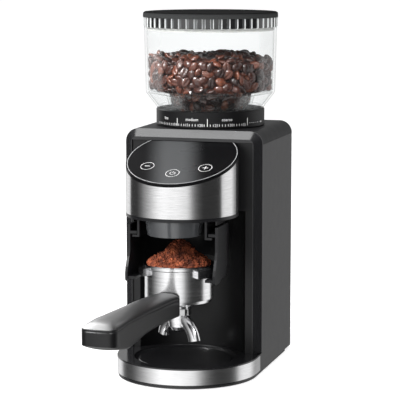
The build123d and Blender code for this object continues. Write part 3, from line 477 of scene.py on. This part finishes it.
def bean_heap():
    spots = []
    cell = {}

    def free(p, d):
        k = tuple(int(math.floor(c / 8.0)) for c in p)
        for dx in (-1, 0, 1):
            for dy in (-1, 0, 1):
                for dz in (-1, 0, 1):
                    for q in cell.get((k[0] + dx, k[1] + dy, k[2] + dz), ()):
                        if (q[0] - p[0]) ** 2 + (q[1] - p[1]) ** 2 + (q[2] - p[2]) ** 2 < d * d:
                            return False
        return True

    def put(p, n):
        cell.setdefault(tuple(int(math.floor(c / 8.0)) for c in p), []).append(p)
        spots.append((p, n))

    # against the wall, then one layer behind it, then the throat
    for depth, dmin, tries in ((3.0, 6.3, 9000), (7.6, 6.4, 7000)):
        for _ in range(tries):
            a = rng.uniform(0, 2 * math.pi)
            z = rng.uniform(269.0, 304.0)
            r = wall_radius(z) - depth
            if z < 267.6 + depth:
                continue
            if z > top_height(r, a) - 2.5:
                continue
            p = (r * math.cos(a), r * math.sin(a), z)
            if free(p, dmin):
                put(p, (math.cos(a), math.sin(a), 0.0))
    for _ in range(2600):
        a = rng.uniform(0, 2 * math.pi)
        z = rng.uniform(250.0, 266.0)
        r = wall_radius(z) - 2.6
        if z > 263:
            r = min(r, 38.2)
        p = (r * math.cos(a), r * math.sin(a), z)
        if free(p, 6.2):
            put(p, (math.cos(a), math.sin(a), -0.1))
    # floor of the wide part
    for _ in range(3000):
        a = rng.uniform(0, 2 * math.pi)
        r = rng.uniform(36, 58.0)
        z = 265.2 + 3.4 * (r - 40.8) / 19.8 + 3.0 if r > 40.8 else 268.0
        p = (r * math.cos(a), r * math.sin(a), z)
        if free(p, 6.3):
            put(p, (0.2 * math.cos(a), 0.2 * math.sin(a), -1.0))
    # upper surface, two layers
    for drop, dmin, tries in ((0.0, 6.2, 9000), (3.8, 6.4, 6000)):
        for _ in range(tries):
            r = 59.0 * math.sqrt(rng.random())
            a = rng.uniform(0, 2 * math.pi)
            z = top_height(r, a) - drop + rng.uniform(-0.8, 1.2)
            p = (r * math.cos(a), r * math.sin(a), z)
            if r < wall_radius(z) - 2.6 and free(p, dmin):
                put(p, (0.0, 0.0, 1.0))
    verts, faces, tone = [], [], []
    base = 0
    for p, n in spots:
        s = rng.uniform(0.86, 1.10)
        v = bean(s, rng.uniform(-1, 1))
        nz = Vector(n) + Vector((rng.gauss(0, 0.42), rng.gauss(0, 0.42), rng.gauss(0, 0.42)))
        nz.normalize()
        if rng.random() < 0.5:
            nz = -nz
        t = Vector((rng.gauss(0, 1), rng.gauss(0, 1), rng.gauss(0, 1)))
        tx = t.cross(nz)
        tx.normalize()
        ty = nz.cross(tx)
        m = np.array([tx, ty, nz])
        w = v @ m + np.array(p)
        for _ in range(3):
            rr = np.hypot(w[:, 0], w[:, 1])
            lim = np.array([wall_radius(z) for z in w[:, 2]])
            over = float((rr - lim).max())
            if over < -0.05:
                break
            c = w[:, :2].mean(0)
            c = c / (np.hypot(*c) + 1e-6)
            w[:, :2] -= c * (over + 0.15)
        verts.append(w)
        faces += [tuple(base + i for i in f) for f in BF]
        base += len(w)
        tone += [rng.random()] * len(BF)
    # a core body that closes the gaps, given the darkest bean colour as painted shade for the deep gaps
    prof = [(0, 246.0), (30.0, 249.5), (32.5, 262.0), (33.0, 268.5), (50.5, 271.5), (52.0, 296.0), (44.0, 298.5), (0, 302.0)]
    seg = 48
    ring0 = base
    core = []
    for r, z in prof:
        for k in range(seg):
            a = 2 * math.pi * k / seg
            core.append((max(r, 0.05) * math.cos(a), max(r, 0.05) * math.sin(a), z))
    verts.append(np.array(core))
    nring = len(prof)
    for j in range(nring - 1):
        for k in range(seg):
            a, b = ring0 + j * seg + k, ring0 + j * seg + (k + 1) % seg
            faces.append((a, b, b + seg, a + seg))
            # tone 0 gives the core the darkest bean colour: painted shade
            tone.append(0.0)
    faces.append(tuple(ring0 + k for k in reversed(range(seg))))
    faces.append(tuple(ring0 + (nring - 1) * seg + k for k in range(seg)))
    tone += [0.0, 0.0]
    V = np.vstack(verts) * MM
    V[:, 1] += BURR_Y * MM
    return V, faces, tone, len(spots)


def bean_material():
    m = Mat("roasted_bean", spec=0.35, coat=0.55, coat_rough=0.16)
    at = m.n.new("ShaderNodeAttribute")
    at.attribute_name = "tone"
    big = m.noise(330.0, 3.0)
    f = m.math("ADD", m.math("MULTIPLY", at.outputs["Fac"], 0.72), m.math("MULTIPLY", big, 0.36))
    m.set("Base Color", m.ramp(f, [(0.0, (0.006, 0.002, 0.0015)), (0.30, (0.017, 0.0045, 0.003)), (0.60, (0.050, 0.0130, 0.0075)), (0.86, (0.110, 0.029, 0.0135)), (1.0, (0.28, 0.090, 0.034))]))
    m.set("Roughness", m.remap(m.noise(700.0, 3.0), 0.24, 0.40, 0.3, 0.7))
    m.bump(m.noise(800.0, 4.0), 0.22, 0.0003)
    return m.m


V, F, T, nb = bean_heap()
beans = make("bean_heap", V, F, bean_material(), "hopper")
at = beans.data.attributes.new("tone", "FLOAT", "FACE")
at.data.foreach_set("value", T[:len(at.data)])
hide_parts("coffee_beans")
print("beans", nb)


# ------------------------------------------------------------------ ground coffee
PF_Y = -29.3


HEAP_R = 30.6


def heap_profile(r):
    pts = [(0, 134.9), (3.5, 134.0), (7, 131.8), (11, 127.4), (15, 122.4), (19, 118.9), (23, 117.0), (27, 115.6), (29.5, 114.2), (30.6, 113.0)]
    return float(np.interp(r, [p[0] for p in pts], [p[1] for p in pts]))


def ground_heap():
    nr, na = 130, 280
    verts, faces = [], []
    for j in range(nr + 1):
        r = HEAP_R * (j / nr) ** 0.9
        for i in range(na):
            a = 2 * math.pi * i / na
            x, y = r * math.cos(a), r * math.sin(a)
            sx, sy = x - 1.8 * (1 - r / HEAP_R), y
            z = heap_profile(min(math.hypot(sx, sy), HEAP_R))
            env = max(0.0, 1 - (r / HEAP_R) ** 8)
            p = Vector((x, y, z * 0.6))
            w = noise.noise_vector(p * 0.25) * 1.2
            d1 = noise.voronoi((p + w) * 0.21 + Vector((3.1, 7.7, 1.3)))[0]
            d2 = noise.voronoi((p + w) * 0.55 + Vector((9.1, 2.7, 4.3)))[0]
            foot = min(1.0, max(0.0, (r - 11.0) / 8.0))
            big = math.sqrt(max(0.0, 1 - min(1.0, d1[0] * 1.35) ** 2))
            small = math.sqrt(max(0.0, 1 - min(1.0, d2[0] * 1.3) ** 2))
            lump = (big - 0.55) * (1.9 + 3.4 * foot) + (small - 0.6) * 2.2
            lump += noise.fractal(p * 1.3, 0.75, 2.1, 4) * 0.85
            z += lump * env
            z = max(min(z, 136.6), 113.45)
            verts.append((x, y, z))
    for j in range(nr):
        for i in range(na):
            a, b = j * na + i, j * na + (i + 1) % na
            faces.append((a, a + na, b + na, b))
    # underside: down inside the basket
    base = len(verts)
    for r, z in ((30.0, 113.38), (28.6, 113.2), (27.9, 92.0), (20.0, 89.0)):
        for i in range(na):
            a = 2 * math.pi * i / na
            verts.append((r * math.cos(a), r * math.sin(a), z))
    last = nr * na
    for i in range(na):
        k = (i + 1) % na
        faces.append((last + i, base + i, base + k, last + k))
        for q in range(3):
            faces.append((base + q * na + i, base + (q + 1) * na + i, base + (q + 1) * na + k, base + q * na + k))
    faces.append(tuple(base + 3 * na + i for i in range(na)))
    faces.append(tuple(reversed(range(na))))
    top = np.array(verts)
    # loose crumbs lying on the heap
    ico_v, ico_f = [], []
    t = (1 + 5 ** 0.5) / 2
    iv = np.array([(-1, t, 0), (1, t, 0), (-1, -t, 0), (1, -t, 0), (0, -1, t), (0, 1, t), (0, -1, -t), (0, 1, -t), (t, 0, -1), (t, 0, 1), (-t, 0, -1), (-t, 0, 1)], float)
    iv /= np.linalg.norm(iv[0])
    iff = [(0, 11, 5), (0, 5, 1), (0, 1, 7), (0, 7, 10), (0, 10, 11), (1, 5, 9), (5, 11, 4), (11, 10, 2), (10, 7, 6), (7, 1, 8), (3, 9, 4), (3, 4, 2), (3, 2, 6), (3, 6, 8), (3, 8, 9), (4, 9, 5), (2, 4, 11), (6, 2, 10), (8, 6, 7), (9, 8, 1)]
    # one subdivision
    sv = [tuple(v) for v in iv]
    mid = {}
    sf = []

    def m2(a, b):
        k = (min(a, b), max(a, b))
        if k not in mid:
            p = np.array(sv[a]) + np.array(sv[b])
            p /= np.linalg.norm(p)
            sv.append(tuple(p))
            mid[k] = len(sv) - 1
        return mid[k]

    for a, b, c in iff:
        ab, bc, ca = m2(a, b), m2(b, c), m2(c, a)
        sf += [(a, ab, ca), (b, bc, ab), (c, ca, bc), (ab, bc, ca)]
    sv = np.array(sv)
    allv = [top]
    off = len(top)
    for _ in range(1900):
        r = 29.9 * math.sqrt(rng.random())
        a = rng.uniform(0, 2 * math.pi)
        j = min(nr, int(round(nr * (r / HEAP_R) ** (1 / 0.9))))
        i = int(a / (2 * math.pi) * na) % na
        c = top[j * na + i]
        s = rng.choice([0.4, 0.5, 0.7, 0.9, 1.1]) * (1.25 if rng.random() < 0.10 else 1.0)
        w = sv * s * np.array([rng.uniform(0.7, 1.3), rng.uniform(0.7, 1.3), rng.uniform(0.6, 1.0)])
        w = w * (1 + nrg.normal(0, 0.12, (len(w), 1)))
        allv.append(w + c + np.array([0, 0, s * 0.25]))
        faces += [tuple(off + q for q in f) for f in sf]
        off += len(w)
    Vv = np.vstack(allv)
    Vv[:, 1] += PF_Y
    return Vv * MM, faces


def ground_material():
    m = Mat("ground_coffee", spec=0.25)
    big = m.noise(140.0, 4.0)
    fine = m.noise(1500.0, 3.0)
    f = m.math("ADD", m.math("MULTIPLY", big, 0.55), m.math("MULTIPLY", fine, 0.45))
    m.set("Base Color", m.ramp(f, [(0.34, (0.012, 0.003, 0.002)), (0.46, (0.070, 0.016, 0.0075)), (0.56, (0.205, 0.050, 0.020)), (0.68, (0.46, 0.14, 0.06))]))
    m.set("Roughness", m.remap(fine, 0.75, 0.95, 0.3, 0.7))
    m.bump(fine, 0.8, 0.0006)
    return m.m


gv, gf = ground_heap()
grounds = make("grounds_heap", gv, gf, ground_material(), "portafilter")
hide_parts("ground_coffee")

# ------------------------------------------------------------------ portafilter handle
HANDLE_END, HANDLE_TURN, END_R = 199.0, -3.3, 9.0
HAND = np.array([(35.2, 13.6, 90.3, 85.2, 69.9, 68.2), (60, 13.8, 92.0, 86.6, 71.0, 69.2), (90, 14.2, 92.8, 87.7, 71.7, 69.7), (120, 14.8, 93.2, 88.6, 71.4, 69.2),
                 (148, 15.7, 93.2, 89.4, 69.2, 66.8), (168, 16.4, 93.1, 89.8, 68.2, 66.2), (186, 16.8, 92.2, 88.4, 72.0, 69.0), (200.2, 16.8, 88.8, 87.6, 75.6, 74.4)])


def hand_at(d):
    """Section values at a distance, cubic between the listed sections."""
    k = int(np.clip(np.searchsorted(HAND[:, 0], d) - 1, 0, len(HAND) - 2))
    d0, d1 = HAND[k, 0], HAND[k + 1, 0]
    t = (d - d0) / (d1 - d0)

    def slope(i):
        if i == 0:
            return (HAND[1] - HAND[0]) / (HAND[1, 0] - HAND[0, 0])
        if i == len(HAND) - 1:
            return (HAND[-1] - HAND[-2]) / (HAND[-1, 0] - HAND[-2, 0])
        return (HAND[i + 1] - HAND[i - 1]) / (HAND[i + 1, 0] - HAND[i - 1, 0])

    a, b = HAND[k], HAND[k + 1]
    return (2 * t ** 3 - 3 * t ** 2 + 1) * a + (t ** 3 - 2 * t ** 2 + t) * slope(k) * (d1 - d0) + (-2 * t ** 3 + 3 * t ** 2) * b + (t ** 3 - t ** 2) * slope(k + 1) * (d1 - d0)


def handle_mesh():
    stations = [(35.2 + (190.0 - 35.2) * i / 90, None, 1.0, 0.0) for i in range(91)]
    for i in range(1, 15):
        f = math.radians(90 * i / 14)
        stations.append((190.0 + 9.0 * math.sin(f), 7.8 + 9.0 * math.cos(f), math.cos(f), math.sin(f)))
    for i in range(1, 11):
        q = 1 - i / 10
        stations.append((199.0 + 0.45 * (1 - q * q), max(7.8 * q, 0.02), 0.0, 1.0))
    rows = []
    for d, lim, nx, nd in stations:
        _, w, zt, zs, zl, zb = hand_at(d)
        w = min(w, 16.8)
        lim = w if lim is None else min(lim, w)

        def dome(x):
            return zs + (zt - zs) * max(0.0, 1 - min(1.0, abs(x) / w) ** 2.6) ** (1 / 1.95)

        def belly(x):
            return zl - (zl - zb) * max(0.0, 1 - min(1.0, abs(x) / w) ** 1.8) ** 0.5

        half = []
        e = 0.9
        xe = max(lim - e * nx, 0.0)
        nt = 14
        for k in range(nt + 1):
            x = xe * math.sin(math.pi / 2 * k / nt)
            half.append((x, d - e * nd, dome(x)))
        ze = dome(xe)
        for o, dz in ((0.55, 0.06), (0.26, 0.27), (0.08, 0.55), (0.0, 0.9)):
            z = min(ze - dz, dome(max(lim - o * nx, 0)) if nd < 0.05 else ze - dz)
            half.append((lim - o * nx, d - o * nd, min(z, half[-1][2] - 0.02)))
        zc = min(zs - 0.3, half[-1][2] - 0.3)
        for o, z in ((0.0, zc), (0.32, zc - 0.10), (0.32, zc - 0.38), (0.0, zc - 0.48)):
            half.append((max(lim - o * nx, 0.0), d - o * nd, z))
        zbe = belly(lim)
        for k in range(1, 6):
            half.append((lim, d, zc - 0.48 + (zbe + 1.0 - zc + 0.48) * k / 5))
        for o, dz in ((0.12, 0.55), (0.42, 0.22), (0.9, 0.0)):
            half.append((max(lim - o * nx, 0.0), d - o * nd, zbe + dz if nd > 0.05 else min(zbe + dz, belly(max(lim - o * nx, 0)) + dz)))
        xb = max(lim - 0.9 * nx, 0.0)
        for k in range(1, nt + 1):
            x = xb * math.cos(math.pi / 2 * k / nt)
            half.append((x, d - 0.9 * nd, min(belly(x), half[-1][2])))
        full = half + [(-x, y, z) for x, y, z in reversed(half[1:-1])]
        rows.append(full)
    m = len(rows[0])
    verts, faces = [], []
    c, sn = math.cos(math.radians(HANDLE_TURN)), math.sin(math.radians(HANDLE_TURN))
    for row in rows:
        for x, d, z in row:
            y = -d
            verts.append((x * c - y * sn, x * sn + y * c + PF_Y, z))
    for j in range(len(rows) - 1):
        for i in range(m):
            k = (i + 1) % m
            faces.append((j * m + i, j * m + k, (j + 1) * m + k, (j + 1) * m + i))
    faces.append(tuple(range(m - 1, -1, -1)))
    faces.append(tuple((len(rows) - 1) * m + i for i in range(m)))
    return np.array(verts) * MM, faces


hm_v, hm_f = handle_mesh()
handle = make("handle_grip", hm_v, hm_f, MATS["handle"], "portafilter")
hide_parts("portafilter_handle")


# ------------------------------------------------------------------ printed marks
def text_outline(s, size):
    """Triangles of a word in the default font, centred on x, baseline at 0, in millimetres."""
    cu = bpy.data.curves.new("t", "FONT")
    cu.body = s
    cu.align_x = "CENTER"
    cu.size = size
    cu.resolution_u = 3
    o = bpy.data.objects.new("t", cu)
    bpy.context.scene.collection.objects.link(o)
    dg = bpy.context.evaluated_depsgraph_get()
    me = o.evaluated_get(dg).to_mesh()
    v = [tuple(p.co) for p in me.vertices]
    f = [tuple(p.vertices) for p in me.polygons]
    o.evaluated_get(dg).to_mesh_clear()
    bpy.data.objects.remove(o)
    bpy.data.curves.remove(cu)
    return v, f


class Print:
    """Flat marks laid on a surface through a mapping of (u, v) millimetres to a point."""

    def __init__(self):
        self.v, self.f = [], []

    def add(self, v, f, place):
        b = len(self.v)
        self.v += [place(p[0], p[1]) for p in v]
        self.f += [tuple(b + i for i in q) for q in f]

    def bar(self, u0, u1, v0, v1, place):
        self.add([(u0, v0), (u1, v0), (u1, v1), (u0, v1)], [(0, 1, 2, 3)], place)

    def ring(self, a, b, w, place, start=0.0, end=360.0, n=64):
        pts, fs = [], []
        for i in range(n + 1):
            t = math.radians(start + (end - start) * i / n)
            for k in (-0.5, 0.5):
                pts.append(((a + k * w) * math.cos(t), (b + k * w) * math.sin(t)))
        for i in range(n):
            fs.append((2 * i, 2 * i + 1, 2 * i + 3, 2 * i + 2))
        self.add(pts, fs, place)


R_PRINT = 53.19
scale_marks = Print()


def on_collar(phi0, z0):
    def place(u, v):
        t = math.radians(phi0) + u / R_PRINT
        return (R_PRINT * math.sin(t) * MM, (BURR_Y - R_PRINT * math.cos(t)) * MM, (z0 + v) * MM)
    return place


def level_angle(n):
    return 6.4 + (n - 20) * 3.16


for n in range(1, 36):
    if n % 5 == 0:
        v, f = text_outline(str(n), 3.7)
        scale_marks.add(v, f, on_collar(level_angle(n), 236.0))
    else:
        scale_marks.bar(-0.28, 0.28, 0, 2.2, on_collar(level_angle(n), 236.1))
for phi in (-20.8, 12.9, 58.0):
    scale_marks.bar(-0.32, 0.32, 0, 7.4, on_collar(phi, 236.1))
for word, phi in (("fine", -37.0), ("medium", -3.6), ("coarse", 33.5)):
    v, f = text_outline(word, 4.0)
    scale_marks.add(v, f, on_collar(phi, 241.4))
for k in range(5):
    scale_marks.bar(-0.5, 0.5, 0, 0.4, on_collar(61.5 + 3.2 * k, 238.2))
scale_marks.bar(-4.5, 3.0, 0, 0.4, on_collar(79.5, 238.2))
scale_marks.add([(3.0, -0.9), (5.2, 0.2), (3.0, 1.3)], [(0, 1, 2)], on_collar(79.5, 238.2))
sm = make("scale_print", scale_marks.v, scale_marks.f, MATS["print"], "housing", False)

# touch keys
SLOPE = math.radians(20.0)


def on_panel(x0, y0):
    z0 = 192.2 + math.tan(SLOPE) * (y0 + 71.4)

    def place(u, v):
        return ((x0 + u) * MM, (y0 + v * math.cos(SLOPE) - 0.05 * math.sin(SLOPE)) * MM, (z0 + v * math.sin(SLOPE) + 0.05) * MM)
    return place


keys = Print()
for kx, ky in ((-28.0, -37.9), (0.0, -49.7), (28.0, -37.7)):
    keys.ring(6.2, 7.2, 0.44, on_panel(kx, ky))
keys.bar(-2.6, 2.6, -0.38, 0.38, on_panel(-28.0, -37.9))
keys.bar(-2.8, 2.8, -0.36, 0.36, on_panel(28.0, -37.7))
keys.bar(-0.34, 0.34, 0.36, 3.2, on_panel(28.0, -37.7))
keys.bar(-0.34, 0.34, -3.2, -0.36, on_panel(28.0, -37.7))
keys.ring(2.4, 2.7, 0.42, on_panel(0.0, -49.7), 120, 420, 40)
keys.bar(-0.22, 0.22, 0.6, 3.5, on_panel(0.0, -49.7))
kp = make("key_print", keys.v, keys.f, MATS["print"], "housing", False)

# index mark on the hopper
mark = Print()


def on_hopper(phi0, z0):
    def place(u, v):
        z = z0 + v
        r = 63.5 + 1.5 * (z - 265.5) / 63.7 + 0.03
        t = math.radians(phi0) + u / r
        return (r * math.sin(t) * MM, (BURR_Y - r * math.cos(t)) * MM, z * MM)
    return place


mark.add([(-1.3, 1.3), (0, -1.5), (1.3, 1.3)], [(0, 1, 2)], on_hopper(-1.5, 269.2))
mk = make("index_print", mark.v, mark.f, MATS["print"], "hopper", False)


# ------------------------------------------------------------------ stage, light, camera
floor_mat = Mat("pale_floor", rough=0.6, spec=0.1)
floor_mat.color((0.55, 0.55, 0.55), (0.57, 0.57, 0.57), 0.8)
floor_mat.b.inputs["Emission Color"].default_value = (1, 1, 1, 1)
floor_mat.b.inputs["Emission Strength"].default_value = 0.78
me = bpy.data.meshes.new("floor")
S = 30.0
me.from_pydata([(-S, -S, 0), (S, -S, 0), (S, S, 0), (-S, S, 0)], [], [(0, 1, 2, 3)])
me.materials.append(floor_mat.m)
floor = bpy.data.objects.new("floor", me)
floor.location.z = -0.00005
floor.visible_glossy = False
bpy.context.scene.collection.objects.link(floor)

world = bpy.data.worlds.new("studio")
bpy.context.scene.world = world
world.use_nodes = True
nt = world.node_tree
nt.nodes.clear()
tc = nt.nodes.new("ShaderNodeTexCoord")
sp = nt.nodes.new("ShaderNodeSeparateXYZ")
nt.links.new(tc.outputs["Generated"], sp.inputs[0])


def wmath(op, a, b=None):
    nd = nt.nodes.new("ShaderNodeMath")
    nd.operation = op
    for k, v in enumerate((a, b)):
        if v is None:
            continue
        if isinstance(v, (int, float)):
            nd.inputs[k].default_value = v
        else:
            nt.links.new(v, nd.inputs[k])
    return nd.outputs[0]


az = wmath("ARCTAN2", sp.outputs["X"], wmath("MULTIPLY", sp.outputs["Y"], -1.0))
azn = wmath("ADD", wmath("DIVIDE", az, 2 * math.pi), 0.5)
ramp = nt.nodes.new("ShaderNodeValToRGB")
cr = ramp.color_ramp
stops = [(-180, 0.46), (-165, 0.46), (-152, 0.60), (-136, 1.0), (-118, 0.95), (-113, 0.045), (-88, 0.045), (-76, 0.16), (-59, 0.50), (-44, 0.88), (-30, 1.22), (-20, 1.34), (0, 1.32), (10, 1.22),
         (26, 1.0), (32, 0.68), (38, 0.32), (45, 0.15), (52, 0.08), (60, 0.04), (102, 0.04), (107, 0.85), (116, 1.0), (138, 1.05), (152, 0.36), (180, 0.44)]
while len(cr.elements) < len(stops):
    cr.elements.new(0.5)
for el, (deg, val) in zip(cr.elements, stops):
    el.position = (deg + 180) / 360
    el.color = (val, val, val, 1)
nt.links.new(azn, ramp.inputs[0])
up = nt.nodes.new("ShaderNodeMapRange")
up.interpolation_type = "SMOOTHSTEP"
up.inputs["From Min"].default_value = 0.55
up.inputs["From Max"].default_value = 0.80
nt.links.new(sp.outputs["Z"], up.inputs["Value"])
mx = nt.nodes.new("ShaderNodeMix")
mx.data_type = "RGBA"
nt.links.new(up.outputs[0], mx.inputs[0])
nt.links.new(ramp.outputs[0], mx.inputs[6])
mx.inputs[7].default_value = (0.22, 0.22, 0.225, 1)
lp = nt.nodes.new("ShaderNodeLightPath")
mx2 = nt.nodes.new("ShaderNodeMix")
mx2.data_type = "RGBA"
nt.links.new(wmath("MAXIMUM", lp.outputs["Is Camera Ray"], lp.outputs["Is Transmission Ray"]), mx2.inputs[0])
nt.links.new(mx.outputs[2], mx2.inputs[6])
mx2.inputs[7].default_value = (1.0, 1.0, 1.0, 1)
bg = nt.nodes.new("ShaderNodeBackground")
bg.inputs["Strength"].default_value = 1.0
nt.links.new(mx2.outputs[2], bg.inputs["Color"])
ow = nt.nodes.new("ShaderNodeOutputWorld")
nt.links.new(bg.outputs[0], ow.inputs[0])


def area(name, loc, target, size, power, size_y=None):
    li = bpy.data.lights.new(name, "AREA")
    li.shape = "RECTANGLE"
    li.size = size
    li.size_y = size_y or size
    li.energy = power
    o = bpy.data.objects.new(name, li)
    o.location = loc
    o.rotation_euler = (Vector(target) - Vector(loc)).to_track_quat("-Z", "Y").to_euler()
    bpy.context.scene.collection.objects.link(o)
    return o


area("overhead", (-0.30, -0.26, 1.7), (0, 0, 0.2), 0.95, 20.0)
area("key_left", (-0.95, -1.15, 1.30), (0, 0, 0.25), 0.42, 26.0)
area("back_left", (-1.2, 0.75, 1.25), (0, 0, 0.15), 0.8, 9.0)
area("key_right", (0.75, -1.15, 1.35), (0, 0, 0.25), 0.30, 9.0)

# a large soft panel that only lights the coffee beans and the grounds
soft = area("soft_front", (-0.75, -1.20, 1.35), (0, 0.05, 0.25), 0.8, 50.0)
lit = bpy.data.collections.new("soft_front_receivers")
for o in (beans, grounds):
    lit.objects.link(o)
soft.light_linking.receiver_collection = lit
# a rim light for the handle's domed top
rim = area("rim_left", (-1.0, 1.0, 1.10), (0, -0.15, 0.09), 0.9, 38.0)
rim_lit = bpy.data.collections.new("rim_left_receivers")
rim_lit.objects.link(handle)
rim.light_linking.receiver_collection = rim_lit

cam = bpy.data.cameras.new("camera")
cam.sensor_width = 36.0
cam.lens = 1797.88 / 400 * 36.0
cam.clip_start = 0.05
cam.clip_end = 60
co = bpy.data.objects.new("camera", cam)
co.location = (0.48687, -1.61793, 0.40602)
co.rotation_euler = (math.radians(90 - 8.0045), 0, math.radians(16.3615))
bpy.context.scene.collection.objects.link(co)
bpy.context.scene.camera = co
bpy.context.scene.view_settings.view_transform = "Standard"
